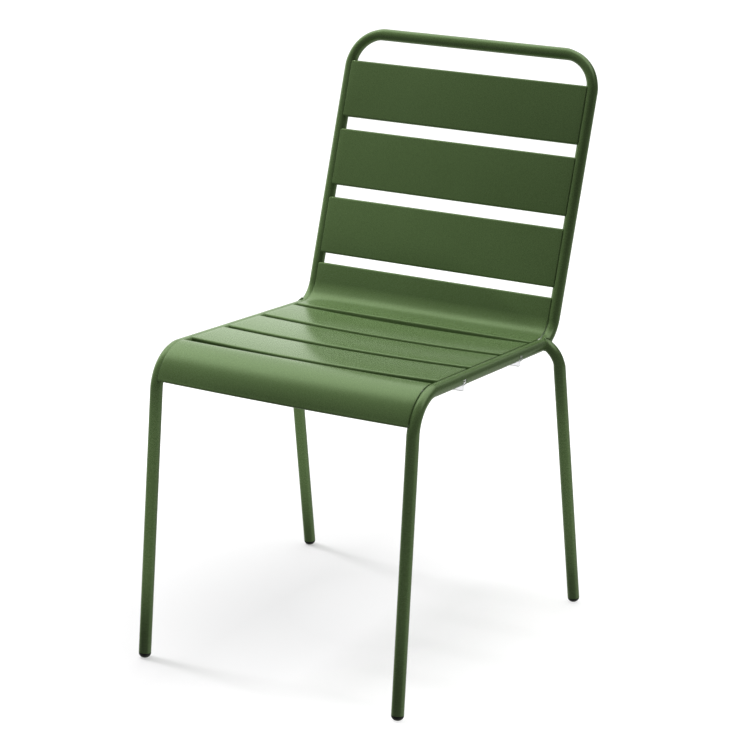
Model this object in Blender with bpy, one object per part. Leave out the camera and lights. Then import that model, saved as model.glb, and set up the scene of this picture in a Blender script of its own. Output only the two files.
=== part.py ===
"""Stacking chair: bent steel tube, pressed sheet slats, plastic foot plugs and stacking clips.

Metres, +Z up. The sitter faces -Y, so the sitter's left side is +X. The origin lies on the floor
below the middle of the chair. Nothing on the chair moves: the frame and the slats are welded.
"""

import bmesh
import bpy
from math import acos, ceil, cos, pi, radians, sin, sqrt, tan
from mathutils import Vector

# Tube
TUBE_RADIUS = 0.009
TUBE_WALL = 0.0012
TUBE_SIDES = 16
BEND_FLATTENING = 0.1  # share of its radius that the tube loses in the plane of a bend
BEND_STEP = radians(10)  # turn between two rings of a bend

# Centreline corners of the frame tube on the +X side, before the bends round them
HALF_WIDTH = 0.2027
FRONT_FOOT = Vector((0.2062, -0.2945, 0))
FRONT_KNEE = Vector((HALF_WIDTH, -0.2621, 0.4504))
SEAT_CORNER = Vector((HALF_WIDTH, 0.1683, 0.4254))
TOP_CORNER = Vector((HALF_WIDTH, 0.2945, 0.8301))
KNEE_RADIUS = 0.0536
SEAT_CORNER_RADIUS = 0.046
TOP_CORNER_RADIUS = 0.0515

# Centreline corners of the rear leg on the +X side
REAR_LEG_ROOT = Vector((HALF_WIDTH, 0.1456, 0.4288))
REAR_LEG_KNEE = Vector((0.2274, 0.1456, 0.4195))
REAR_FOOT = Vector((0.2347, 0.2303, 0))
REAR_LEG_RADIUS = 0.038

# Slats
SHEET = 0.0012
SLAT_WIDTH = 0.0875
SEAT_SLAT_PITCH = 0.1002
BACK_SLAT_PITCH = 0.1064
FIRST_SEAT_SLAT = 0.0766  # from the front knee, along the rail
FIRST_BACK_SLAT = 0.0792  # from the seat corner, up the upright
FACE_HEIGHT = TUBE_RADIUS  # of the slats' outer face over the tube's centreline
SLAT_HALF_LENGTH = 0.1968  # of the face, where the coped edge would run out thin
FOLD_RADIUS = 0.003
FOLD_DEPTH = 0.0075
SEAT_DISH = 0.0036  # how far the flat seat slats sink at mid-span
DISH_STATIONS = 8  # straight pieces along the width of a dished slat
FRONT_SLAT_REAR_EDGE = 0.0575  # from the front knee, along the rail
FRONT_SLAT_TURN = radians(77.4)  # how far the front slat follows the knee
CORNER_SLAT_FRONT_EDGE = 0.0558  # from the seat corner, along the rail
CORNER_SLAT_TOP_EDGE = 0.0641  # from the seat corner, up the upright
SEAT_SLAT_NAMES = ("front", "middle", "rear")
BACK_SLAT_NAMES = ("lower", "middle", "upper")
FIT_GAP = 0.0004

# Foot plugs
PLUG_DOME = 0.0082
PLUG_FLAT_CUT = 0.0004  # how much of the dome its flat takes away
PLUG_STEM = 0.014
PLUG_STEM_BORE = 0.0045
PLUG_CROWN = 0.0015  # solid thickness between the dome's rim and the stem's bore
PLUG_SIDES = 24
DOME_STEPS = 5

# Stacking clips, snapped round the side rails
CLIP_STATIONS = (0.130, 0.312)  # from the front knee, along the rail
CLIP_LENGTH = 0.007
CLIP_WALL = 0.0014
CLIP_WRAP = radians(104)  # of each arm, from the underside of the rail
CLIP_PAD_WIDTH = 0.014
CLIP_PAD_DEPTH = 0.0055
CLIP_ARC_STEPS = 8

SIDES = (("left", 1), ("right", -1))


def clear_scene():
    for scene_object in list(bpy.data.objects):
        bpy.data.objects.remove(scene_object, do_unlink=True)


def make_material(name, colour, roughness, metallic=0.0, alpha=1.0):
    material = bpy.data.materials.new(name)
    material.use_nodes = True
    shader = material.node_tree.nodes["Principled BSDF"]
    shader.inputs["Base Color"].default_value = (*colour, 1)
    shader.inputs["Roughness"].default_value = roughness
    shader.inputs["Metallic"].default_value = metallic
    shader.inputs["Alpha"].default_value = alpha
    material.diffuse_color = (*colour, alpha)
    return material


def face_outwards(bm):
    bmesh.ops.recalc_face_normals(bm, faces=bm.faces)
    if bm.calc_volume(signed=True) < 0:
        bmesh.ops.reverse_faces(bm, faces=bm.faces)


def add_object(name, bm, material, smooth_below=radians(40)):
    face_outwards(bm)
    mesh = bpy.data.meshes.new(name)
    bm.to_mesh(mesh)
    bm.free()
    mesh.shade_smooth()
    mesh.set_sharp_from_angle(angle=smooth_below)
    mesh.materials.append(material)
    placed = bpy.data.objects.new(name, mesh)
    bpy.context.collection.objects.link(placed)
    return placed


def mirrored(point, side):
    return Vector((point.x * side, point.y, point.z))


def round_corner(before, corner, after, radius):
    """Start, centre, end and turn of the arc that rounds one corner."""
    arm_in = (before - corner).normalized()
    arm_out = (after - corner).normalized()
    turn = pi - acos(max(-1, min(1, arm_in.dot(arm_out))))
    reach = radius * tan(turn / 2)
    start = corner + arm_in * reach
    end = corner + arm_out * reach
    centre = corner + (arm_in + arm_out).normalized() * radius / cos(turn / 2)
    return start, centre, end, turn


def rounded_path(corners, radii, step):
    """Points along the corners with each inner corner rounded: (point, tangent, outward, squeeze).

    Outward points away from the bend's centre, and squeeze is 1 inside a bend and 0 on a straight.
    """
    path = [(corners[0], (corners[1] - corners[0]).normalized(), Vector(), 0.0)]
    for before, corner, after, radius in zip(corners, corners[1:], corners[2:], radii):
        start, centre, end, turn = round_corner(before, corner, after, radius)
        first = (start - centre) / radius
        last = (end - centre) / radius
        across = (last - first * last.dot(first)).normalized()
        count = max(2, ceil(turn / step))
        for index in range(count + 1):
            angle = turn * index / count
            outward = first * cos(angle) + across * sin(angle)
            tangent = across * cos(angle) - first * sin(angle)
            squeeze = 0.0 if index in (0, count) else 1.0
            path.append((centre + outward * radius, tangent, outward, squeeze))
    path.append((corners[-1], (corners[-1] - corners[-2]).normalized(), Vector(), 0.0))
    return path


def add_rings(bm, path, radius, flattening=BEND_FLATTENING):
    """One ring of vertices for each point of the path, all turned alike along it."""
    tangent = path[0][1]
    across = tangent.orthogonal().normalized()
    rings = []
    for point, new_tangent, outward, squeeze in path:
        across = tangent.rotation_difference(new_tangent) @ across
        tangent = new_tangent
        third = tangent.cross(across)
        ring = []
        for index in range(TUBE_SIDES):
            angle = 2 * pi * index / TUBE_SIDES
            offset = (across * cos(angle) + third * sin(angle)) * radius
            offset -= outward * offset.dot(outward) * flattening * squeeze
            ring.append(bm.verts.new(point + offset))
        rings.append(ring)
    return rings


def bridge(bm, first, second):
    count = len(first)
    for index in range(count):
        following = (index + 1) % count
        bm.faces.new((first[index], first[following], second[following], second[index]))


def join_rings(bm, rings):
    for first, second in zip(rings, rings[1:]):
        bridge(bm, first, second)


def add_tube(bm, path):
    """A bent tube, open at both ends."""
    outer = add_rings(bm, path, TUBE_RADIUS)
    inner = add_rings(bm, path, TUBE_RADIUS - TUBE_WALL)
    join_rings(bm, outer)
    join_rings(bm, inner)
    bridge(bm, inner[0], outer[0])
    bridge(bm, outer[-1], inner[-1])


def add_rod(bm, path, radius):
    """A bent solid bar of round section, closed at both ends."""
    rings = add_rings(bm, path, radius, flattening=0)
    join_rings(bm, rings)
    bm.faces.new(rings[0])
    bm.faces.new(rings[-1])


def tube_end(foot, above):
    """Where a leg's tube stops, so that the plug's dome reaches the floor below it."""
    axis = (above - foot).normalized()
    return foot + axis * (PLUG_DOME - PLUG_FLAT_CUT + FIT_GAP)


def side_corners(side):
    """The frame tube's centreline on one side, from its front foot to the top corner."""
    foot = tube_end(FRONT_FOOT, FRONT_KNEE)
    return [mirrored(corner, side) for corner in (foot, FRONT_KNEE, SEAT_CORNER, TOP_CORNER)]


def frame_path():
    corners = side_corners(1) + side_corners(-1)[::-1]
    radii = (KNEE_RADIUS, SEAT_CORNER_RADIUS, TOP_CORNER_RADIUS)
    return rounded_path(corners, radii + radii[::-1], BEND_STEP)


def make_frame(steel):
    bm = bmesh.new()
    add_tube(bm, frame_path())
    return add_object("frame_tube", bm, steel)


def make_cutter():
    """A rod a little thicker than the frame tube, which copes the ends of the legs."""
    bm = bmesh.new()
    add_rod(bm, frame_path(), TUBE_RADIUS + FIT_GAP)
    cutter = add_object("frame_cope_cutter", bm, None)
    cutter.hide_render = True
    cutter.display_type = "WIRE"
    return cutter


def make_rear_leg(name, side, steel, cutter):
    foot = tube_end(REAR_FOOT, REAR_LEG_KNEE)
    corners = [mirrored(corner, side) for corner in (REAR_LEG_ROOT, REAR_LEG_KNEE, foot)]
    bm = bmesh.new()
    add_tube(bm, rounded_path(corners, [REAR_LEG_RADIUS], BEND_STEP))
    leg = add_object(name, bm, steel)
    cope = leg.modifiers.new("cope", "BOOLEAN")
    cope.operation = "DIFFERENCE"
    cope.object = cutter
    return leg


def straight(origin, towards):
    """Origin, direction and outer-face normal of a straight stretch of the side frame."""
    along = (towards - origin).normalized()
    normal = Vector((0, -along.z, along.y))
    return origin, along, normal


def edge_fold(edge, inwards, normal):
    """Outer and inner points of a folded edge, from its free edge to the face, with their depths.

    Edge is where the outer face's plane meets the outer side of the fold, and inwards points from
    there into the slat.
    """
    free = edge - normal * FOLD_DEPTH
    points = [(free, FOLD_DEPTH, free + inwards * SHEET, FOLD_DEPTH)]
    centre = edge + (inwards - normal) * FOLD_RADIUS
    inner_radius = FOLD_RADIUS - SHEET
    for angle in (0, pi / 4, pi / 2):
        direction = normal * sin(angle) - inwards * cos(angle)
        outer_depth = FOLD_RADIUS * (1 - sin(angle))
        inner_depth = FOLD_RADIUS - inner_radius * sin(angle)
        outer = centre + direction * FOLD_RADIUS
        inner = centre + direction * inner_radius
        points.append((outer, outer_depth, inner, inner_depth))
    return points


def slat_profile(face):
    """Section of a slat from the stations (point, normal) of its outer face, edge to edge."""
    first_point, first_normal = face[0]
    last_point, last_normal = face[-1]
    first_inwards = Vector((0, first_normal.z, -first_normal.y))
    if first_inwards.dot(face[1][0] - first_point) < 0:
        first_inwards.negate()
    last_inwards = Vector((0, last_normal.z, -last_normal.y))
    if last_inwards.dot(face[-2][0] - last_point) < 0:
        last_inwards.negate()
    middle = [(point, 0, point - normal * SHEET, SHEET) for point, normal in face[1:-1]]
    end_fold = edge_fold(last_point, last_inwards, last_normal)
    return edge_fold(first_point, first_inwards, first_normal) + middle + end_fold[::-1]


def half_span(depth):
    """Half the slat's length at a depth below its face, where it is coped round the tube."""
    height = FACE_HEIGHT - depth
    coped = HALF_WIDTH - sqrt((TUBE_RADIUS + FIT_GAP) ** 2 - height**2)
    return min(coped, SLAT_HALF_LENGTH)


def add_slat(name, face, steel, dish=0.0, spans=1):
    """A folded slat between the side tubes. Dish is how far it sinks at mid-span."""
    profile = slat_profile(face)
    sink_direction = face[0][1]
    bm = bmesh.new()
    outer_rings = []
    inner_rings = []
    for index in range(spans + 1):
        share = 2 * index / spans - 1
        sink = sink_direction * dish * (1 - share**2)
        outer_ring = []
        inner_ring = []
        for outer, outer_depth, inner, inner_depth in profile:
            outer_x = Vector((share * half_span(outer_depth), 0, 0))
            inner_x = Vector((share * half_span(inner_depth), 0, 0))
            outer_ring.append(bm.verts.new(outer + outer_x - sink))
            inner_ring.append(bm.verts.new(inner + inner_x - sink))
        outer_rings.append(outer_ring)
        inner_rings.append(inner_ring)
    loops = [outer + inner[::-1] for outer, inner in zip(outer_rings, inner_rings)]
    join_rings(bm, loops)
    for outer, inner in ((outer_rings[0], inner_rings[0]), (outer_rings[-1], inner_rings[-1])):
        for index in range(len(outer) - 1):
            bm.faces.new((outer[index], outer[index + 1], inner[index + 1], inner[index]))
    return add_object(name, bm, steel)


def in_section(point):
    """The point moved into the chair's middle plane, where the slats' sections are drawn."""
    return Vector((0, point.y, point.z))


def flat_face(line, start):
    origin, along, normal = line
    surface = in_section(origin) + normal * FACE_HEIGHT
    return [(surface + along * distance, normal) for distance in (start, start + SLAT_WIDTH)]


def curved_face(corners, radius, outside, used_turn=None):
    """Face stations round one bend of the side frame, on the outside or the inside of the bend."""
    before, corner, after = [in_section(point) for point in corners]
    start, centre, end, turn = round_corner(before, corner, after, radius)
    first = (start - centre).normalized()
    last = (end - centre).normalized()
    across = (last - first * last.dot(first)).normalized()
    face_radius = radius + FACE_HEIGHT if outside else radius - FACE_HEIGHT
    facing = 1 if outside else -1
    used = used_turn or turn
    count = ceil(used / BEND_STEP)
    stations = []
    for index in range(count + 1):
        direction = first * cos(used * index / count) + across * sin(used * index / count)
        stations.append((centre + direction * face_radius, direction * facing))
    return stations


def make_slats(steel):
    rail = straight(FRONT_KNEE, SEAT_CORNER)
    upright = straight(SEAT_CORNER, TOP_CORNER)
    for index, place in enumerate(SEAT_SLAT_NAMES):
        face = flat_face(rail, FIRST_SEAT_SLAT + index * SEAT_SLAT_PITCH)
        add_slat(f"seat_slat_{place}", face, steel, SEAT_DISH, DISH_STATIONS)
    for index, place in enumerate(BACK_SLAT_NAMES):
        face = flat_face(upright, FIRST_BACK_SLAT + index * BACK_SLAT_PITCH)
        add_slat(f"back_slat_{place}", face, steel)
    rear_edge = flat_face(rail, FRONT_SLAT_REAR_EDGE)[0]
    corners = (SEAT_CORNER, FRONT_KNEE, FRONT_FOOT)
    knee_face = curved_face(corners, KNEE_RADIUS, True, FRONT_SLAT_TURN)
    add_slat("front_edge_slat", [rear_edge] + knee_face, steel)
    rail_length = (SEAT_CORNER - FRONT_KNEE).length
    front_edge = flat_face(rail, rail_length - CORNER_SLAT_FRONT_EDGE)[0]
    top_edge = flat_face(upright, CORNER_SLAT_TOP_EDGE)[0]
    corners = (FRONT_KNEE, SEAT_CORNER, TOP_CORNER)
    corner_face = curved_face(corners, SEAT_CORNER_RADIUS, False)
    add_slat("seat_to_back_slat", [front_edge] + corner_face + [top_edge], steel)


def add_turned(bm, profile, origin, axis, sides):
    """A solid of revolution. The profile's (radius, height) points start and end on the axis."""
    across = axis.orthogonal().normalized()
    third = axis.cross(across)
    bottom = bm.verts.new(origin + axis * profile[0][1])
    top = bm.verts.new(origin + axis * profile[-1][1])
    rings = []
    for radius, height in profile[1:-1]:
        ring = []
        for index in range(sides):
            angle = 2 * pi * index / sides
            direction = across * cos(angle) + third * sin(angle)
            ring.append(bm.verts.new(origin + axis * height + direction * radius))
        rings.append(ring)
    join_rings(bm, rings)
    for index in range(sides):
        following = (index + 1) % sides
        bm.faces.new((bottom, rings[0][following], rings[0][index]))
        bm.faces.new((top, rings[-1][index], rings[-1][following]))


def cut_level(bm, height):
    """Cuts away what is below the height and closes the cut with a level face."""
    everything = bm.verts[:] + bm.edges[:] + bm.faces[:]
    plane = {"plane_co": (0, 0, height), "plane_no": (0, 0, -1)}
    cut = bmesh.ops.bisect_plane(bm, geom=everything, clear_outer=True, **plane)
    rim = [piece for piece in cut["geom_cut"] if isinstance(piece, bmesh.types.BMEdge)]
    bmesh.ops.contextual_create(bm, geom=rim)


def make_plug(name, foot, above, plastic):
    """A domed plug in the end of a leg, its stem inside the tube and a level flat on the floor."""
    axis = (above - foot).normalized()
    stem_radius = TUBE_RADIUS - TUBE_WALL - FIT_GAP
    profile = []
    for index in range(DOME_STEPS + 1):
        angle = pi / 2 * index / DOME_STEPS
        profile.append((TUBE_RADIUS * sin(angle), PLUG_DOME * (1 - cos(angle))))
    profile.append((stem_radius, PLUG_DOME))
    profile.append((stem_radius, PLUG_DOME + PLUG_STEM))
    profile.append((PLUG_STEM_BORE, PLUG_DOME + PLUG_STEM))
    profile.append((PLUG_STEM_BORE, PLUG_DOME + PLUG_CROWN))
    profile.append((0, PLUG_DOME + PLUG_CROWN))
    bm = bmesh.new()
    add_turned(bm, profile, foot - axis * PLUG_FLAT_CUT, axis, PLUG_SIDES)
    cut_level(bm, 0)
    return add_object(name, bm, plastic)


def arc_points(radius, start, end):
    """Points (across, height) of an arc, its angles measured from straight down."""
    points = []
    for index in range(CLIP_ARC_STEPS + 1):
        angle = start + (end - start) * index / CLIP_ARC_STEPS
        points.append((radius * sin(angle), -radius * cos(angle)))
    return points


def clip_section():
    """Outline of a clip across the rail: two arms round the tube and a block below it."""
    inner_radius = TUBE_RADIUS + FIT_GAP
    outer_radius = inner_radius + CLIP_WALL
    half_pad = CLIP_PAD_WIDTH / 2
    pad_bottom = -(TUBE_RADIUS + CLIP_PAD_DEPTH)
    pad_angle = acos(sqrt(outer_radius**2 - half_pad**2) / outer_radius)
    section = arc_points(outer_radius, CLIP_WRAP, pad_angle)
    section += [(half_pad, pad_bottom), (-half_pad, pad_bottom)]
    section += arc_points(outer_radius, -pad_angle, -CLIP_WRAP)
    section += arc_points(inner_radius, -CLIP_WRAP, CLIP_WRAP)
    return section


def make_clip(name, station, side, plastic):
    origin, along, normal = straight(FRONT_KNEE, SEAT_CORNER)
    bm = bmesh.new()
    rings = []
    for distance in (station - CLIP_LENGTH / 2, station + CLIP_LENGTH / 2):
        middle = mirrored(origin + along * distance, side)
        ring = []
        for across, height in clip_section():
            ring.append(bm.verts.new(middle + Vector((across, 0, 0)) + normal * height))
        rings.append(ring)
        bm.faces.new(ring)
    bridge(bm, *rings)
    return add_object(name, bm, plastic)


def main():
    clear_scene()
    steel = make_material("green_powder_coat", (0.07, 0.12, 0.045), 0.38)
    black_plastic = make_material("black_plastic", (0.02, 0.02, 0.022), 0.5)
    clear_plastic = make_material("clear_plastic", (0.86, 0.86, 0.88), 0.12, alpha=0.4)
    cutter = make_cutter()
    make_frame(steel)
    make_slats(steel)
    for side_name, side in SIDES:
        make_rear_leg(f"rear_leg_{side_name}", side, steel, cutter)
        legs = (("front", FRONT_FOOT, FRONT_KNEE), ("rear", REAR_FOOT, REAR_LEG_KNEE))
        for end_name, foot, above in legs:
            name = f"foot_plug_{end_name}_{side_name}"
            make_plug(name, mirrored(foot, side), mirrored(above, side), black_plastic)
        for end_name, station in zip(("front", "rear"), CLIP_STATIONS):
            name = f"stacking_clip_{end_name}_{side_name}"
            make_clip(name, station, side, clear_plastic)


main()
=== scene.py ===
"""Stacking chair: fine meshes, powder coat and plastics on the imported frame, in a white studio.

Metres, +Z up, in the CAD's own frame. The sitter faces -Y, so the sitter's left side is +X. The
outer dimensions are the CAD's own; this script refines the surfaces, brings pieces that touch closer
together, turns down the slats' ends and adds the welds.
"""

from math import acos, ceil, cos, pi, radians, sin, sqrt, tan

import bmesh
import bpy
from mathutils import Matrix, Vector


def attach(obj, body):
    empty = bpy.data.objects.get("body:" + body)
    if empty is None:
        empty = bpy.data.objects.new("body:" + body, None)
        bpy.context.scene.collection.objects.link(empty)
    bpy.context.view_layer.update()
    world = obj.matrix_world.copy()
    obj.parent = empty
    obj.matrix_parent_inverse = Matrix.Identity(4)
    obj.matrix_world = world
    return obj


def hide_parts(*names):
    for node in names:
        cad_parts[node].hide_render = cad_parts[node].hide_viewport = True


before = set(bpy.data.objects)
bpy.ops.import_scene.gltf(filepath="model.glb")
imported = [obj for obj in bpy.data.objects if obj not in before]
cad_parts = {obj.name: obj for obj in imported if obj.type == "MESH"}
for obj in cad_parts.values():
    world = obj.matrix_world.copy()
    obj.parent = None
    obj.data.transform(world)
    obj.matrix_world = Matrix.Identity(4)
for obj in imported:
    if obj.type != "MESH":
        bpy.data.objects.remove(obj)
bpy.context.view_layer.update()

# Tube
TUBE_RADIUS = 0.009
TUBE_WALL = 0.0012
TUBE_SIDES = 48
BEND_FLATTENING = 0.1  # share of its radius that the tube loses in the plane of a bend
BEND_STEP = radians(3)
BEND_EASE = 0.2  # share of a bend over which the flattening comes and goes
STRAIGHT_STEP = 0.02

# Centreline corners of the frame tube on the +X side, before the bends round them
HALF_WIDTH = 0.2027
FRONT_FOOT = Vector((0.2062, -0.2945, 0))
FRONT_KNEE = Vector((HALF_WIDTH, -0.2621, 0.4504))
SEAT_CORNER = Vector((HALF_WIDTH, 0.1683, 0.4254))
TOP_CORNER = Vector((HALF_WIDTH, 0.2945, 0.8301))
KNEE_RADIUS = 0.0536
SEAT_CORNER_RADIUS = 0.046
TOP_CORNER_RADIUS = 0.0515

# Centreline corners of the rear leg on the +X side
REAR_LEG_ROOT = Vector((HALF_WIDTH, 0.1456, 0.4288))
REAR_LEG_KNEE = Vector((0.2274, 0.1456, 0.4195))
REAR_FOOT = Vector((0.2347, 0.2303, 0))
REAR_LEG_RADIUS = 0.038

# Slats
SHEET = 0.0012
SLAT_WIDTH = 0.0875
SEAT_SLAT_PITCH = 0.1002
BACK_SLAT_PITCH = 0.1064
FIRST_SEAT_SLAT = 0.0766  # from the front knee, along the rail
FIRST_BACK_SLAT = 0.0792  # from the seat corner, up the upright
FACE_HEIGHT = TUBE_RADIUS
SLAT_END_ROUNDING = 0.0015  # radius with which a slat's ends turn down against the tube
SLAT_END_TURN = radians(75)
SLAT_END_STEPS = 5
FOLD_RADIUS = 0.003
FOLD_STEPS = 6
FOLD_DEPTH = 0.0075
FLANGE_STEPS = 4  # stops of a fold's straight part, so that its coped end follows the tube
SEAT_DISH = 0.0036
FRONT_SLAT_DISH = 0.0014
SLAT_STATIONS = 40  # pieces along the length of a slat
SHEET_EDGE_BEVEL = 0.00028
FRONT_SLAT_REAR_EDGE = 0.0575  # from the front knee, along the rail
FRONT_SLAT_TURN = radians(77.4)
CORNER_SLAT_FRONT_EDGE = 0.0558  # from the seat corner, along the rail
CORNER_SLAT_TOP_EDGE = 0.0641  # from the seat corner, up the upright
SEAT_SLAT_NAMES = ("front", "middle", "rear")
BACK_SLAT_NAMES = ("lower", "middle", "upper")
FIT_GAP = 0.0002  # between pieces that touch on the real chair

# Welds
BEAD_RADIUS = 0.0017
BEAD_SIDES = 12
BEAD_STEP = 0.0005
BEAD_RIPPLE = 0.1  # share of the bead's radius
BEAD_RIPPLE_PITCH = 0.0019
SLAT_BEAD_DEPTH = 0.0026  # of a slat's weld below the slat's outer face
SLAT_BEADS = ((0.06, 0.26), (0.74, 0.94))  # stretches of the slat's section that are welded
SADDLE_POINTS = 96
SADDLE_HALVINGS = 20  # of the stretch in which a saddle's point is searched
SADDLE_BEAD_RADIUS = 0.8 * BEAD_RADIUS
SADDLE_REACH = 0.06  # how far from the rear leg's root the frame tube is looked at

# Foot plugs
PLUG_DOME = 0.0082
PLUG_FLAT_CUT = 0.0004
PLUG_STEM = 0.014
PLUG_STEM_BORE = 0.0045
PLUG_CROWN = 0.0015
PLUG_SIDES = 64
PLUG_RIM = 0.0006  # radius of the rounded edge next to the tube
PLUG_RIM_STEPS = 3
DOME_STEPS = 16

# Stacking clips
CLIP_STATIONS = (0.130, 0.312)  # from the front knee, along the rail
CLIP_LENGTH = 0.007
CLIP_WALL = 0.0014
CLIP_WRAP = radians(104)
CLIP_PAD_WIDTH = 0.014
CLIP_PAD_DEPTH = 0.0055
CLIP_ARC_STEPS = 24
CLIP_EDGE_ROUNDING = 0.0004

SIDES = (("left", 1), ("right", -1))

# Meshes
SMOOTH_BELOW = radians(35)  # edges that bend less are shaded smooth
BEVEL_ABOVE = radians(50)  # edges that bend more are rounded

# Materials
METAL_FLAKE = 0.3  # share of the powder coat that reflects in its own colour

# Studio
FLOOR_HALF_SIZE = 40
BACKDROP_RADIUS = 35
BACKDROP_HEIGHT = 60
BRIGHT_WALL = (1.15, 1.22, 1.10)
CEILING = (1.60, 1.65, 1.55)
DIM_WALL = (0.14, 0.14, 0.14)
BACK_FLOOR = (0.58, 0.62, 0.53)
ROOM = (0.08, 0.08, 0.08)
ROOM_FLOOR = (0.17, 0.17, 0.17)
FLOOR_COLOURS = ((0.40, 0.39, 0.41), (0.41, 0.40, 0.42))
# Floor glow: a painted soft shadow dips it round the centre under the chair, and painted light ramps
# it up from the sitter's right, where the lamps stand, towards the left
FLOOR_PAINTED_SHADOW_CENTRE = (0, 0.05, 0)
FLOOR_PAINTED_LIGHT_RIGHT = 0.35
FLOOR_PAINTED_LIGHT_LEFT = 0.65
FLOOR_GLOW_BEYOND_PAINTED_SHADOW = 0.50
SEAT_CENTRE = (0, 0, 0.44)
FRONT_LAMP = (1.2, -2.4, 0.1)  # place of the lamps for the left legs and the rear legs
REAR_LEG_LAMP_AIM = 0.2  # height at which the rear legs' lamps aim
REAR_LEG_LAMP_POWERS = {"left": 130, "right": 95}

# Camera: where it looks, from which side, how far away and how long its lens is
CAMERA_TARGET = Vector((0, 0.0123, 0.37565))
CAMERA_AZIMUTH = radians(28.112)
CAMERA_ELEVATION = radians(16.778)
CAMERA_ROLL = radians(1.35)
CAMERA_DISTANCE = 3.5294
CAMERA_LENS = 114.757


# ---- Meshes ----------------------------------------------------------------------------------


def face_outwards(bm):
    bmesh.ops.recalc_face_normals(bm, faces=bm.faces)
    if bm.calc_volume(signed=True) < 0:
        bmesh.ops.reverse_faces(bm, faces=bm.faces)


def add_object(name, bm, material):
    face_outwards(bm)
    mesh = bpy.data.meshes.new(name)
    bm.to_mesh(mesh)
    bm.free()
    mesh.shade_smooth()
    mesh.set_sharp_from_angle(angle=SMOOTH_BELOW)
    if material:
        mesh.materials.append(material)
    placed = bpy.data.objects.new(name, mesh)
    bpy.context.collection.objects.link(placed)
    return placed


def add_piece(name, bm, material, node=None):
    """A piece of the chair that rides on its only body and stands for one CAD node, if any."""
    piece = add_object(name, bm, material)
    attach(piece, "root")
    if node:
        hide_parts(node)
    return piece


def apply_modifiers(piece):
    graph = bpy.context.evaluated_depsgraph_get()
    made = bpy.data.meshes.new_from_object(piece.evaluated_get(graph))
    piece.modifiers.clear()
    piece.data = made


def round_edges(piece, width, segments=2):
    bevel = piece.modifiers.new("round_edges", "BEVEL")
    bevel.width = width
    bevel.segments = segments
    bevel.limit_method = "ANGLE"
    bevel.angle_limit = BEVEL_ABOVE
    bevel.harden_normals = False
    apply_modifiers(piece)


def mirrored(point, side):
    return Vector((point.x * side, point.y, point.z))


def ease(share):
    """0 to 1 with a level start and end."""
    share = max(0.0, min(1.0, share))
    return share * share * (3 - 2 * share)


# ---- Tubes -----------------------------------------------------------------------------------


def round_corner(before, corner, after, radius):
    """Start, centre, end and turn of the arc that rounds one corner."""
    arm_in = (before - corner).normalized()
    arm_out = (after - corner).normalized()
    turn = pi - acos(max(-1, min(1, arm_in.dot(arm_out))))
    reach = radius * tan(turn / 2)
    start = corner + arm_in * reach
    end = corner + arm_out * reach
    centre = corner + (arm_in + arm_out).normalized() * radius / cos(turn / 2)
    return start, centre, end, turn


def straight_points(start, end):
    """Points of a straight stretch without its last one: (point, tangent, outward, squeeze)."""
    length = (end - start).length
    count = max(1, ceil(length / STRAIGHT_STEP))
    tangent = (end - start).normalized()
    return [(start.lerp(end, index / count), tangent, Vector(), 0.0) for index in range(count)]


def rounded_path(corners, radii):
    """Points along the corners with each inner corner rounded: (point, tangent, outward, squeeze).

    Outward points away from the bend's centre. Squeeze rises to 1 inside a bend.
    """
    path = []
    last_end = corners[0]
    for before, corner, after, radius in zip(corners, corners[1:], corners[2:], radii):
        start, centre, end, turn = round_corner(before, corner, after, radius)
        path += straight_points(last_end, start)
        first = (start - centre) / radius
        last = (end - centre) / radius
        across = (last - first * last.dot(first)).normalized()
        count = ceil(turn / BEND_STEP)
        for index in range(count):
            angle = turn * index / count
            outward = first * cos(angle) + across * sin(angle)
            tangent = across * cos(angle) - first * sin(angle)
            squeeze = ease(min(index, count - index) / count / BEND_EASE)
            path.append((centre + outward * radius, tangent, outward, squeeze))
        last_end = end
    path += straight_points(last_end, corners[-1])
    path.append((corners[-1], (corners[-1] - corners[-2]).normalized(), Vector(), 0.0))
    return path


def add_rings(bm, path, radius, flattening=BEND_FLATTENING):
    """One ring of vertices for each point of the path, all turned alike along it."""
    tangent = path[0][1]
    across = tangent.orthogonal().normalized()
    rings = []
    for point, new_tangent, outward, squeeze in path:
        across = tangent.rotation_difference(new_tangent) @ across
        tangent = new_tangent
        third = tangent.cross(across)
        ring = []
        for index in range(TUBE_SIDES):
            angle = 2 * pi * index / TUBE_SIDES
            offset = (across * cos(angle) + third * sin(angle)) * radius
            offset -= outward * offset.dot(outward) * flattening * squeeze
            ring.append(bm.verts.new(point + offset))
        rings.append(ring)
    return rings


def bridge(bm, first, second):
    count = len(first)
    for index in range(count):
        following = (index + 1) % count
        bm.faces.new((first[index], first[following], second[following], second[index]))


def join_rings(bm, rings):
    for first, second in zip(rings, rings[1:]):
        bridge(bm, first, second)


def add_tube(bm, path):
    """A bent tube, open at both ends."""
    outer = add_rings(bm, path, TUBE_RADIUS)
    inner = add_rings(bm, path, TUBE_RADIUS - TUBE_WALL)
    join_rings(bm, outer)
    join_rings(bm, inner)
    bridge(bm, inner[0], outer[0])
    bridge(bm, outer[-1], inner[-1])


def tube_end(foot, above):
    """Where a leg's tube stops, so that the plug's dome reaches the floor below it."""
    axis = (above - foot).normalized()
    return foot + axis * (PLUG_DOME - PLUG_FLAT_CUT + FIT_GAP)


def frame_path():
    foot = tube_end(FRONT_FOOT, FRONT_KNEE)
    left = [foot, FRONT_KNEE, SEAT_CORNER, TOP_CORNER]
    right = [mirrored(corner, -1) for corner in left]
    radii = (KNEE_RADIUS, SEAT_CORNER_RADIUS, TOP_CORNER_RADIUS)
    return rounded_path(left + right[::-1], radii + radii[::-1])


def make_frame(steel):
    bm = bmesh.new()
    add_tube(bm, frame_path())
    add_piece("frame_tube_fine", bm, steel, "frame_tube")


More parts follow.
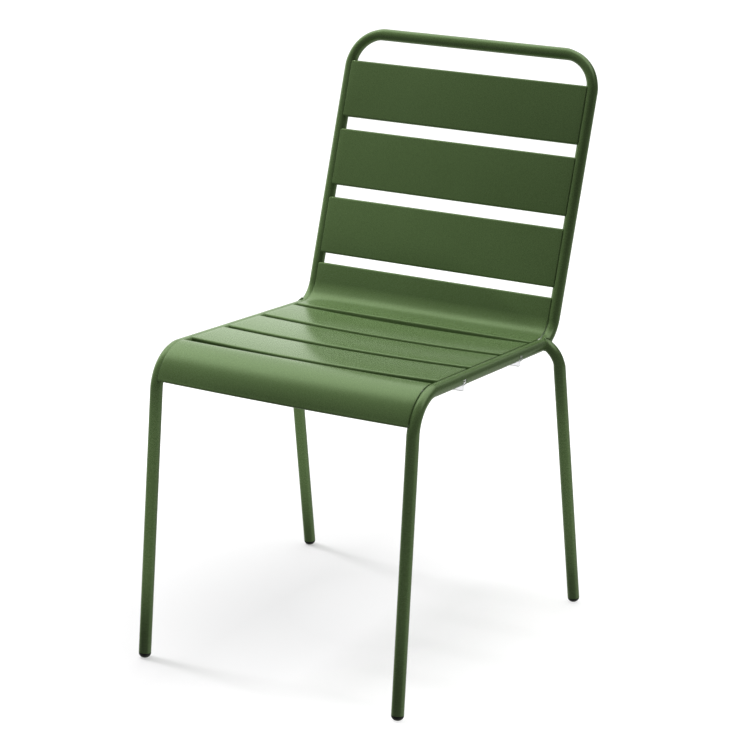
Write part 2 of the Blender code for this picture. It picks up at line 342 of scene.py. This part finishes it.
def make_cutter():
    """A rod a little thicker than the frame tube, which copes the ends of the rear legs."""
    bm = bmesh.new()
    rings = add_rings(bm, frame_path(), TUBE_RADIUS + FIT_GAP, flattening=0)
    join_rings(bm, rings)
    bm.faces.new(rings[0])
    bm.faces.new(rings[-1])
    return add_object("cope_cutter", bm, None)


def rear_leg_corners(side):
    foot = tube_end(REAR_FOOT, REAR_LEG_KNEE)
    return [mirrored(corner, side) for corner in (REAR_LEG_ROOT, REAR_LEG_KNEE, foot)]


def make_rear_leg(side_name, side, steel, cutter):
    bm = bmesh.new()
    add_tube(bm, rounded_path(rear_leg_corners(side), [REAR_LEG_RADIUS]))
    name = f"rear_leg_{side_name}"
    leg = add_piece(f"{name}_fine", bm, steel, name)
    cope = leg.modifiers.new("cope", "BOOLEAN")
    cope.object = cutter
    apply_modifiers(leg)


# ---- Welds -----------------------------------------------------------------------------------


def add_bead(bm, points, radius=BEAD_RADIUS, closed=False):
    """A rippled weld bead along the points, with its ends drawn in unless it is closed."""
    count = len(points)
    lengths = [0.0]
    for first, second in zip(points, points[1:]):
        lengths.append(lengths[-1] + (second - first).length)
    rings = []
    for index, point in enumerate(points):
        before = points[index - 1] if closed or index else points[0]
        after = points[(index + 1) % count] if closed or index < count - 1 else points[-1]
        tangent = (after - before).normalized()
        across = tangent.cross(Vector((1, 0, 0)))
        if across.length < 0.1:
            across = tangent.cross(Vector((0, 0, 1)))
        across.normalize()
        third = tangent.cross(across)
        size = radius * (1 + BEAD_RIPPLE * sin(2 * pi * lengths[index] / BEAD_RIPPLE_PITCH))
        if not closed:
            from_end = min(lengths[index], lengths[-1] - lengths[index]) / (2 * radius)
            size *= sqrt(max(0.02, 1 - (1 - min(1, from_end)) ** 2))
        ring = []
        for step in range(BEAD_SIDES):
            angle = 2 * pi * step / BEAD_SIDES
            ring.append(bm.verts.new(point + (across * cos(angle) + third * sin(angle)) * size))
        rings.append(ring)
    join_rings(bm, rings)
    if closed:
        bridge(bm, rings[-1], rings[0])
    else:
        bm.faces.new(rings[0])
        bm.faces.new(rings[-1])


def distance_to_path(point, path):
    """Shortest distance from the point to the path's centreline."""
    distances = []
    for (first, _, _, _), (second, _, _, _) in zip(path, path[1:]):
        along = second - first
        share = max(0, min(1, (point - first).dot(along) / along.length_squared))
        distances.append((point - first - along * share).length)
    return min(distances)


def saddle_points(side, near_path):
    """The closed line where the rear leg's surface meets the frame tube's."""
    root, knee, _ = rear_leg_corners(side)
    axis = (knee - root).normalized()
    across = axis.orthogonal().normalized()
    third = axis.cross(across)
    points = []
    for index in range(SADDLE_POINTS):
        angle = 2 * pi * index / SADDLE_POINTS
        start = root + (across * cos(angle) + third * sin(angle)) * TUBE_RADIUS
        outer = 2 * TUBE_RADIUS
        inner = 0.0
        for _ in range(SADDLE_HALVINGS):
            middle = (outer + inner) / 2
            if distance_to_path(start + axis * middle, near_path) > TUBE_RADIUS + FIT_GAP / 2:
                outer = middle
            else:
                inner = middle
        points.append(start + axis * outer)
    return points


def make_rear_leg_weld(side_name, side, steel):
    root = mirrored(REAR_LEG_ROOT, side)
    near_path = [stop for stop in frame_path() if (stop[0] - root).length < SADDLE_REACH]
    bm = bmesh.new()
    add_bead(bm, saddle_points(side, near_path), SADDLE_BEAD_RADIUS, closed=True)
    add_piece(f"rear_leg_weld_{side_name}", bm, steel)


def section_stretch(face, start, end):
    """Evenly spaced (point, normal) stations along a share of a slat's outer face."""
    lengths = [0.0]
    for (first, _), (second, _) in zip(face, face[1:]):
        lengths.append(lengths[-1] + (second - first).length)
    count = ceil((end - start) * lengths[-1] / BEAD_STEP)
    stretch = []
    for index in range(count + 1):
        at = (start + (end - start) * index / count) * lengths[-1]
        place = max(i for i, length in enumerate(lengths[:-1]) if length <= at)
        share = (at - lengths[place]) / (lengths[place + 1] - lengths[place])
        point = face[place][0].lerp(face[place + 1][0], share)
        normal = face[place][1].lerp(face[place + 1][1], share).normalized()
        stretch.append((point, normal))
    return stretch


def make_slat_welds(name, face, steel):
    """Beads under both ends of a slat, in the corner between its sheet and the tube."""
    height = FACE_HEIGHT - SLAT_BEAD_DEPTH
    half_length = HALF_WIDTH - sqrt((TUBE_RADIUS + FIT_GAP) ** 2 - height**2)
    bm = bmesh.new()
    for _, side in SIDES:
        end = Vector((side * half_length, 0, 0))
        for start_share, end_share in SLAT_BEADS:
            stretch = section_stretch(face, start_share, end_share)
            add_bead(bm, [point - normal * SLAT_BEAD_DEPTH + end for point, normal in stretch])
    add_piece(f"{name}_welds", bm, steel)


# ---- Slats -----------------------------------------------------------------------------------


def straight(origin, towards):
    """Origin, direction and outer-face normal of a straight stretch of the side frame."""
    along = (towards - origin).normalized()
    normal = Vector((0, -along.z, along.y))
    return origin, along, normal


def edge_fold(edge, inwards, normal):
    """Stops of a folded edge, from its free edge to the face: outer point and its depth below the
    face, inner point and its depth, and the face's normal.

    Edge is where the outer face's plane meets the outer side of the fold, and inwards points from
    there into the slat.
    """
    points = []
    for step in range(FLANGE_STEPS):
        depth = FOLD_DEPTH + (FOLD_RADIUS - FOLD_DEPTH) * step / FLANGE_STEPS
        outer = edge - normal * depth
        points.append((outer, depth, outer + inwards * SHEET, depth, normal))
    centre = edge + (inwards - normal) * FOLD_RADIUS
    inner_radius = FOLD_RADIUS - SHEET
    for step in range(FOLD_STEPS + 1):
        angle = pi / 2 * step / FOLD_STEPS
        direction = normal * sin(angle) - inwards * cos(angle)
        outer_depth = FOLD_RADIUS * (1 - sin(angle))
        inner_depth = FOLD_RADIUS - inner_radius * sin(angle)
        outer = centre + direction * FOLD_RADIUS
        inner = centre + direction * inner_radius
        points.append((outer, outer_depth, inner, inner_depth, normal))
    return points


def slat_profile(face):
    """Section of a slat from the stations (point, normal) of its outer face, edge to edge."""
    first_point, first_normal = face[0]
    last_point, last_normal = face[-1]
    first_inwards = Vector((0, first_normal.z, -first_normal.y))
    if first_inwards.dot(face[1][0] - first_point) < 0:
        first_inwards.negate()
    last_inwards = Vector((0, last_normal.z, -last_normal.y))
    if last_inwards.dot(face[-2][0] - last_point) < 0:
        last_inwards.negate()
    middle = [(point, 0, point - normal * SHEET, SHEET, normal) for point, normal in face[1:-1]]
    end_fold = edge_fold(last_point, last_inwards, last_normal)
    return edge_fold(first_point, first_inwards, first_normal) + middle + end_fold[::-1]


def half_span(depth):
    """Half the slat's length at a depth below its face, coped for a tube that isn't flattened."""
    height = FACE_HEIGHT - depth
    return HALF_WIDTH - sqrt((TUBE_RADIUS + FIT_GAP) ** 2 - height**2)


def slat_stations():
    """(share of the length, turn of the end) along a slat, dense where its ends turn down."""
    end_turns = [SLAT_END_TURN * step / SLAT_END_STEPS for step in range(SLAT_END_STEPS, 0, -1)]
    flat = [2 * index / SLAT_STATIONS - 1 for index in range(SLAT_STATIONS + 1)]
    left = [(-1, turn) for turn in end_turns]
    return left + [(share, 0.0) for share in flat] + [(1, turn) for turn in reversed(end_turns)]


def station_offset(share, end_turn, depth):
    """How far a slat's point lies across the chair and below the plain section, for its depth."""
    final_sink = SLAT_END_ROUNDING * (1 - cos(SLAT_END_TURN))
    flat_end = half_span(depth + final_sink) - SLAT_END_ROUNDING * sin(SLAT_END_TURN)
    across = flat_end + SLAT_END_ROUNDING * sin(end_turn)
    return share * across, SLAT_END_ROUNDING * (1 - cos(end_turn))


def make_slat(name, face, steel, dish=0.0):
    """A folded slat between the side tubes. Dish is how far it sinks at mid-span."""
    profile = slat_profile(face)
    sink_direction = face[0][1]
    bm = bmesh.new()
    loops = []
    for share, end_turn in slat_stations():
        outer_ring = []
        inner_ring = []
        dished = sink_direction * dish * (1 - share**2)
        for outer, outer_depth, inner, inner_depth, normal in profile:
            outer_stop = (outer, outer_depth, outer_ring)
            inner_stop = (inner, inner_depth, inner_ring)
            for point, depth, ring in (outer_stop, inner_stop):
                across, turned_down = station_offset(share, end_turn, depth)
                sink = dished + normal * turned_down
                ring.append(bm.verts.new(point + Vector((across, 0, 0)) - sink))
        loops.append((outer_ring, inner_ring))
    join_rings(bm, [outer + inner[::-1] for outer, inner in loops])
    for outer, inner in (loops[0], loops[-1]):
        for index in range(len(outer) - 1):
            bm.faces.new((outer[index], outer[index + 1], inner[index + 1], inner[index]))
    slat = add_piece(f"{name}_fine", bm, steel, name)
    round_edges(slat, SHEET_EDGE_BEVEL)
    make_slat_welds(name, face, steel)


def in_section(point):
    """The point moved into the chair's middle plane, where the slats' sections are drawn."""
    return Vector((0, point.y, point.z))


def flat_face(line, start):
    origin, along, normal = line
    surface = in_section(origin) + normal * FACE_HEIGHT
    return [(surface + along * distance, normal) for distance in (start, start + SLAT_WIDTH)]


def curved_face(corners, radius, outside, used_turn=None):
    """Face stations round one bend of the side frame, on the outside or the inside of the bend."""
    before, corner, after = [in_section(point) for point in corners]
    start, centre, end, turn = round_corner(before, corner, after, radius)
    first = (start - centre).normalized()
    last = (end - centre).normalized()
    across = (last - first * last.dot(first)).normalized()
    face_radius = radius + FACE_HEIGHT if outside else radius - FACE_HEIGHT
    facing = 1 if outside else -1
    used = used_turn or turn
    count = ceil(used / BEND_STEP)
    stations = []
    for index in range(count + 1):
        direction = first * cos(used * index / count) + across * sin(used * index / count)
        stations.append((centre + direction * face_radius, direction * facing))
    return stations


def make_slats(steel):
    rail = straight(FRONT_KNEE, SEAT_CORNER)
    upright = straight(SEAT_CORNER, TOP_CORNER)
    for index, place in enumerate(SEAT_SLAT_NAMES):
        face = flat_face(rail, FIRST_SEAT_SLAT + index * SEAT_SLAT_PITCH)
        make_slat(f"seat_slat_{place}", face, steel, SEAT_DISH)
    for index, place in enumerate(BACK_SLAT_NAMES):
        face = flat_face(upright, FIRST_BACK_SLAT + index * BACK_SLAT_PITCH)
        make_slat(f"back_slat_{place}", face, steel)
    rear_edge = flat_face(rail, FRONT_SLAT_REAR_EDGE)[0]
    corners = (SEAT_CORNER, FRONT_KNEE, FRONT_FOOT)
    knee_face = curved_face(corners, KNEE_RADIUS, True, FRONT_SLAT_TURN)
    make_slat("front_edge_slat", [rear_edge] + knee_face, steel, FRONT_SLAT_DISH)
    rail_length = (SEAT_CORNER - FRONT_KNEE).length
    front_edge = flat_face(rail, rail_length - CORNER_SLAT_FRONT_EDGE)[0]
    top_edge = flat_face(upright, CORNER_SLAT_TOP_EDGE)[0]
    corners = (FRONT_KNEE, SEAT_CORNER, TOP_CORNER)
    corner_face = curved_face(corners, SEAT_CORNER_RADIUS, False)
    make_slat("seat_to_back_slat", [front_edge] + corner_face + [top_edge], steel)


# ---- Plugs and clips -------------------------------------------------------------------------


def add_turned(bm, profile, origin, axis, sides):
    """A solid of revolution. The profile's (radius, height) points start and end on the axis."""
    across = axis.orthogonal().normalized()
    third = axis.cross(across)
    bottom = bm.verts.new(origin + axis * profile[0][1])
    top = bm.verts.new(origin + axis * profile[-1][1])
    rings = []
    for radius, height in profile[1:-1]:
        ring = []
        for index in range(sides):
            angle = 2 * pi * index / sides
            direction = across * cos(angle) + third * sin(angle)
            ring.append(bm.verts.new(origin + axis * height + direction * radius))
        rings.append(ring)
    join_rings(bm, rings)
    for index in range(sides):
        following = (index + 1) % sides
        bm.faces.new((bottom, rings[0][following], rings[0][index]))
        bm.faces.new((top, rings[-1][index], rings[-1][following]))


def cut_level(bm, height):
    """Cuts away what is below the height and closes the cut with a level face."""
    everything = bm.verts[:] + bm.edges[:] + bm.faces[:]
    plane = {"plane_co": (0, 0, height), "plane_no": (0, 0, -1)}
    cut = bmesh.ops.bisect_plane(bm, geom=everything, clear_outer=True, **plane)
    rim = [piece for piece in cut["geom_cut"] if isinstance(piece, bmesh.types.BMEdge)]
    bmesh.ops.contextual_create(bm, geom=rim)


def plug_profile():
    """Half section of a plug: dome, rounded rim, then the hollow stem."""
    stem_radius = TUBE_RADIUS - TUBE_WALL - FIT_GAP
    dome = PLUG_DOME - PLUG_RIM
    profile = []
    for index in range(DOME_STEPS + 1):
        angle = pi / 2 * index / DOME_STEPS
        profile.append((TUBE_RADIUS * sin(angle), dome * (1 - cos(angle))))
    for index in range(1, PLUG_RIM_STEPS + 1):
        angle = pi / 2 * index / PLUG_RIM_STEPS
        radius = TUBE_RADIUS - PLUG_RIM * (1 - cos(angle))
        profile.append((radius, dome + PLUG_RIM * sin(angle)))
    profile.append((stem_radius, PLUG_DOME))
    profile.append((stem_radius, PLUG_DOME + PLUG_STEM))
    profile.append((PLUG_STEM_BORE, PLUG_DOME + PLUG_STEM))
    profile.append((PLUG_STEM_BORE, PLUG_DOME + PLUG_CROWN))
    profile.append((0, PLUG_DOME + PLUG_CROWN))
    return profile


def make_plug(name, foot, above, plastic):
    axis = (above - foot).normalized()
    bm = bmesh.new()
    add_turned(bm, plug_profile(), foot - axis * PLUG_FLAT_CUT, axis, PLUG_SIDES)
    cut_level(bm, 0)
    add_piece(f"{name}_fine", bm, plastic, name)


def arc_points(radius, start, end):
    """Points (across, height) of an arc, its angles measured from straight down."""
    points = []
    for index in range(CLIP_ARC_STEPS + 1):
        angle = start + (end - start) * index / CLIP_ARC_STEPS
        points.append((radius * sin(angle), -radius * cos(angle)))
    return points


def clip_section():
    """Outline of a clip across the rail: two arms round the tube and a block below it."""
    inner_radius = TUBE_RADIUS + FIT_GAP
    outer_radius = inner_radius + CLIP_WALL
    half_pad = CLIP_PAD_WIDTH / 2
    pad_bottom = -(TUBE_RADIUS + CLIP_PAD_DEPTH)
    pad_angle = acos(sqrt(outer_radius**2 - half_pad**2) / outer_radius)
    section = arc_points(outer_radius, CLIP_WRAP, pad_angle)
    section += [(half_pad, pad_bottom), (-half_pad, pad_bottom)]
    section += arc_points(outer_radius, -pad_angle, -CLIP_WRAP)
    section += arc_points(inner_radius, -CLIP_WRAP, CLIP_WRAP)
    return section


def make_clip(name, station, side, plastic):
    origin, along, normal = straight(FRONT_KNEE, SEAT_CORNER)
    bm = bmesh.new()
    rings = []
    for distance in (station - CLIP_LENGTH / 2, station + CLIP_LENGTH / 2):
        middle = mirrored(origin + along * distance, side)
        ring = []
        for across, height in clip_section():
            ring.append(bm.verts.new(middle + Vector((across, 0, 0)) + normal * height))
        rings.append(ring)
        bm.faces.new(ring)
    bridge(bm, *rings)
    clip = add_piece(f"{name}_fine", bm, plastic, name)
    round_edges(clip, CLIP_EDGE_ROUNDING, segments=3)


# ---- Materials -------------------------------------------------------------------------------


def new_material(name):
    material = bpy.data.materials.new(name)
    material.use_nodes = True
    tree = material.node_tree
    return material, tree, tree.nodes["Principled BSDF"]


def add_noise(tree, scale, detail=2.0, roughness=0.5):
    """Noise over the object's own coordinates, with the scale in cycles per metre."""
    place = tree.nodes.new("ShaderNodeTexCoord")
    noise = tree.nodes.new("ShaderNodeTexNoise")
    noise.inputs["Scale"].default_value = scale
    noise.inputs["Detail"].default_value = detail
    noise.inputs["Roughness"].default_value = roughness
    tree.links.new(place.outputs["Object"], noise.inputs["Vector"])
    return noise.outputs["Fac"]


def add_range(tree, value, low, high, to_low, to_high):
    """The value moved from one range to another, held at its ends."""
    spread = tree.nodes.new("ShaderNodeMapRange")
    spread.inputs["From Min"].default_value = low
    spread.inputs["From Max"].default_value = high
    spread.inputs["To Min"].default_value = to_low
    spread.inputs["To Max"].default_value = to_high
    tree.links.new(value, spread.inputs["Value"])
    return spread.outputs["Result"]


def add_math(tree, operation, first, second):
    """One sum or product of two nodes' outputs."""
    step = tree.nodes.new("ShaderNodeMath")
    step.operation = operation
    tree.links.new(first, step.inputs[0])
    tree.links.new(second, step.inputs[1])
    return step.outputs["Value"]


def add_mix(tree, share, first, second):
    """A colour between two others, each a colour or a node's output."""
    mix = tree.nodes.new("ShaderNodeMix")
    mix.data_type = "RGBA"
    tree.links.new(share, mix.inputs["Factor"])
    for socket, value in ((mix.inputs[6], first), (mix.inputs[7], second)):
        if isinstance(value, tuple):
            socket.default_value = (*value, 1)
        else:
            tree.links.new(value, socket)
    return mix.outputs[2]


def add_bump(tree, height, distance, normal=None):
    bump = tree.nodes.new("ShaderNodeBump")
    bump.inputs["Strength"].default_value = 1
    bump.inputs["Distance"].default_value = distance
    tree.links.new(height, bump.inputs["Height"])
    if normal:
        tree.links.new(normal, bump.inputs["Normal"])
    return bump.outputs["Normal"]


def powder_coat():
    """Satin green powder coat: orange peel, a fine grain, faint clouds and thinner edges."""
    material, tree, shader = new_material("green_powder_coat")
    clouds = add_range(tree, add_noise(tree, 9, 3), 0.3, 0.7, 0, 1)
    colour = add_mix(tree, clouds, (0.119, 0.192, 0.069), (0.129, 0.207, 0.077))
    grain = add_range(tree, add_noise(tree, 1500, 1), 0.35, 0.65, 0, 1)
    geometry = tree.nodes.new("ShaderNodeNewGeometry")
    edges = add_range(tree, geometry.outputs["Pointiness"], 0.52, 0.62, 0, 0.5)
    colour = add_mix(tree, edges, colour, (0.170, 0.255, 0.115))
    tree.links.new(colour, shader.inputs["Base Color"])
    roughness = add_range(tree, grain, 0, 1, 0.24, 0.30)
    tree.links.new(roughness, shader.inputs["Roughness"])
    peel = add_bump(tree, add_noise(tree, 520, 2), 0.00004)
    fine = add_bump(tree, add_noise(tree, 2200, 1), 0.000006, peel)
    tree.links.new(fine, shader.inputs["Normal"])
    shader.inputs["Metallic"].default_value = METAL_FLAKE
    shader.inputs["IOR"].default_value = 1.5
    return material


def black_plastic():
    """Matt moulded plastic, scuffed grey where it meets the floor."""
    material, tree, shader = new_material("black_plastic")
    place = tree.nodes.new("ShaderNodeTexCoord")
    split = tree.nodes.new("ShaderNodeSeparateXYZ")
    tree.links.new(place.outputs["Object"], split.inputs["Vector"])
    low = add_range(tree, split.outputs["Z"], 0.0002, 0.0022, 1, 0)
    scuffs = add_range(tree, add_noise(tree, 1200, 4, 0.7), 0.45, 0.62, 0, 1)
    worn = add_math(tree, "MULTIPLY", low, scuffs)
    colour = add_mix(tree, worn, (0.012, 0.012, 0.013), (0.07, 0.07, 0.068))
    tree.links.new(colour, shader.inputs["Base Color"])
    roughness = add_range(tree, add_noise(tree, 800, 3), 0.3, 0.7, 0.42, 0.55)
    tree.links.new(roughness, shader.inputs["Roughness"])
    tree.links.new(add_bump(tree, add_noise(tree, 1800, 2), 0.00002), shader.inputs["Normal"])
    return material


def clear_plastic():
    """Clear soft plastic, faintly milky and clouded by handling."""
    material, tree, shader = new_material("clear_plastic")
    haze = add_range(tree, add_noise(tree, 260, 3), 0.3, 0.7, 0, 1)
    colour = add_mix(tree, haze, (0.40, 0.40, 0.43), (0.50, 0.50, 0.53))
    tree.links.new(colour, shader.inputs["Base Color"])
    roughness = add_range(tree, haze, 0, 1, 0.28, 0.42)
    tree.links.new(roughness, shader.inputs["Roughness"])
    tree.links.new(add_bump(tree, add_noise(tree, 900, 2), 0.00002), shader.inputs["Normal"])
    shader.inputs["Transmission Weight"].default_value = 1
    shader.inputs["IOR"].default_value = 1.3
    shader.inputs["Specular IOR Level"].default_value = 0.2
    shader.inputs["Alpha"].default_value = 0.55
    return material


# ---- Studio ----------------------------------------------------------------------------------


def make_floor():
    """A pale floor that glows enough to be white. Its glow dips round the chair's middle as a
    painted soft shadow and ramps up away from the lamps as painted light; the lamps also cast real
    shadows on it.
    """
    material, tree, shader = new_material("studio_floor")
    shade = add_range(tree, add_noise(tree, 2, 2), 0.3, 0.7, 0, 1)
    tree.links.new(add_mix(tree, shade, *FLOOR_COLOURS), shader.inputs["Base Color"])
    shader.inputs["Roughness"].default_value = 0.9
    shader.inputs["Emission Color"].default_value = (1, 1, 1, 1)
    place = tree.nodes.new("ShaderNodeNewGeometry").outputs["Position"]
    split = tree.nodes.new("ShaderNodeSeparateXYZ")
    tree.links.new(place, split.inputs["Vector"])
    reach = tree.nodes.new("ShaderNodeVectorMath")
    reach.operation = "DISTANCE"
    reach.inputs[1].default_value = FLOOR_PAINTED_SHADOW_CENTRE
    tree.links.new(place, reach.inputs[0])
    # Painted light and shadow: the glow ramps up across X away from the lamps, and drops round the
    # chair's middle as a painted soft shadow
    across = add_range(tree, split.outputs["X"], -0.15, 0.25, FLOOR_PAINTED_LIGHT_RIGHT, FLOOR_PAINTED_LIGHT_LEFT)
    painted_shadow_ramp = add_range(tree, reach.outputs["Value"], 0.15, 0.9, 0, FLOOR_GLOW_BEYOND_PAINTED_SHADOW)
    tree.links.new(add_math(tree, "ADD", across, painted_shadow_ramp), shader.inputs["Emission Strength"])
    bm = bmesh.new()
    bmesh.ops.create_grid(bm, x_segments=1, y_segments=1, size=FLOOR_HALF_SIZE)
    floor = add_object("studio_floor", bm, material)
    floor.visible_diffuse = False
    floor.visible_glossy = False


def make_backdrop():
    """A white wall all round, which only fills the picture and doesn't light the chair."""
    material, _, shader = new_material("studio_backdrop")
    shader.inputs["Base Color"].default_value = (0.9, 0.9, 0.9, 1)
    shader.inputs["Emission Color"].default_value = (1, 1, 1, 1)
    shader.inputs["Emission Strength"].default_value = 1
    bm = bmesh.new()
    radii = {"radius1": BACKDROP_RADIUS, "radius2": BACKDROP_RADIUS}
    bmesh.ops.create_cone(bm, segments=96, depth=BACKDROP_HEIGHT, **radii)
    backdrop = add_object("studio_backdrop", bm, material)
    for ray in ("diffuse", "glossy", "transmission", "shadow"):
        setattr(backdrop, f"visible_{ray}", False)


def make_world():
    """A bright wall behind the chair on the sitter's right, a pale floor and a dim room in front."""
    world = bpy.data.worlds.new("studio")
    world.use_nodes = True
    bpy.context.scene.world = world
    tree = world.node_tree
    place = tree.nodes.new("ShaderNodeTexCoord")
    split = tree.nodes.new("ShaderNodeSeparateXYZ")
    tree.links.new(place.outputs["Generated"], split.inputs["Vector"])
    bright_side = add_range(tree, split.outputs["X"], 0.25, -0.15, 0, 1)
    below = add_range(tree, split.outputs["Z"], -0.2, 0.0, 1, 0)
    behind = add_range(tree, split.outputs["Y"], -0.28, 0.06, 0, 1)
    wall = add_mix(tree, bright_side, DIM_WALL, BRIGHT_WALL)
    above = add_range(tree, split.outputs["Z"], 0.5, 0.75, 0, 1)
    wall = add_mix(tree, above, wall, CEILING)
    back = add_mix(tree, below, wall, BACK_FLOOR)
    front = add_mix(tree, below, ROOM, ROOM_FLOOR)
    colour = add_mix(tree, behind, front, back)
    tree.links.new(colour, tree.nodes["Background"].inputs["Color"])


def make_light(name, kind, place, look_at, power, **settings):
    """A light that doesn't show in the paint's reflections."""
    light = bpy.data.lights.new(name, kind)
    light.energy = power
    for setting, value in settings.items():
        setattr(light, setting, value)
    lamp = bpy.data.objects.new(name, light)
    lamp.location = place
    lamp.rotation_euler = (Vector(look_at) - Vector(place)).to_track_quat("-Z", "Y").to_euler()
    lamp.visible_glossy = False
    bpy.context.collection.objects.link(lamp)


def make_spot(name, place, look_at, power, degrees, blend, softness):
    shape = {"spot_size": radians(degrees), "spot_blend": blend, "shadow_soft_size": softness}
    make_light(name, "SPOT", place, look_at, power, **shape)


def make_lights():
    """Two broad lamps from above the sitter's right, and spots that lift single parts."""
    make_light("overhead", "AREA", (-1.2, -0.1, 2.0), SEAT_CENTRE, 12, size=1.0)
    make_light("key", "AREA", (-2.0, -0.05, 3.4), SEAT_CENTRE, 60, size=0.5)
    make_spot("back_fill", (-0.8, -2.5, 0.15), (-0.3, 0.25, 1.05), 24, 24, 0.8, 0.1)
    make_spot("seat_fill", (-0.75, -0.1, 1.0), (-0.12, 0.02, 0.47), 12, 50, 1, 0.15)
    make_spot("right_leg_fill", (0.1, -2.6, 0.2), (-0.225, 0.1, 0.25), 125, 10, 0.7, 0.05)
    make_spot("left_leg_fill", FRONT_LAMP, (0, 0.2, 0.40), 36, 16, 1, 0.1)
    for side_name, side in SIDES:
        aim = (side * REAR_FOOT.x, REAR_FOOT.y, REAR_LEG_LAMP_AIM)
        power = REAR_LEG_LAMP_POWERS[side_name]
        make_spot(f"rear_leg_fill_{side_name}", FRONT_LAMP, aim, power, 8, 1, 0.05)


def make_camera():
    azimuth, elevation = CAMERA_AZIMUTH, CAMERA_ELEVATION
    back = Vector((sin(azimuth) * cos(elevation), -cos(azimuth) * cos(elevation), sin(elevation)))
    level = (-back).cross(Vector((0, 0, 1))).normalized()
    upright = level.cross(-back)
    right = level * cos(CAMERA_ROLL) + upright * sin(CAMERA_ROLL)
    up = upright * cos(CAMERA_ROLL) - level * sin(CAMERA_ROLL)
    camera = bpy.data.cameras.new("camera")
    camera.lens = CAMERA_LENS
    camera.sensor_width = 36
    placed = bpy.data.objects.new("camera", camera)
    turned = Matrix((right, up, back)).transposed().to_4x4()
    placed.matrix_world = Matrix.Translation(CAMERA_TARGET + back * CAMERA_DISTANCE) @ turned
    bpy.context.collection.objects.link(placed)
    bpy.context.scene.camera = placed


# ---- Everything ------------------------------------------------------------------------------


def main():
    steel = powder_coat()
    black = black_plastic()
    clear = clear_plastic()
    make_frame(steel)
    make_slats(steel)
    cutter = make_cutter()
    for side_name, side in SIDES:
        make_rear_leg(side_name, side, steel, cutter)
        make_rear_leg_weld(side_name, side, steel)
        legs = (("front", FRONT_FOOT, FRONT_KNEE), ("rear", REAR_FOOT, REAR_LEG_KNEE))
        for end_name, foot, above in legs:
            name = f"foot_plug_{end_name}_{side_name}"
            make_plug(name, mirrored(foot, side), mirrored(above, side), black)
        for end_name, station in zip(("front", "rear"), CLIP_STATIONS):
            make_clip(f"stacking_clip_{end_name}_{side_name}", station, side, clear)
    bpy.data.objects.remove(cutter, do_unlink=True)
    make_floor()
    make_backdrop()
    make_world()
    make_lights()
    make_camera()
    bpy.context.scene.view_settings.view_transform = "Standard"


main()
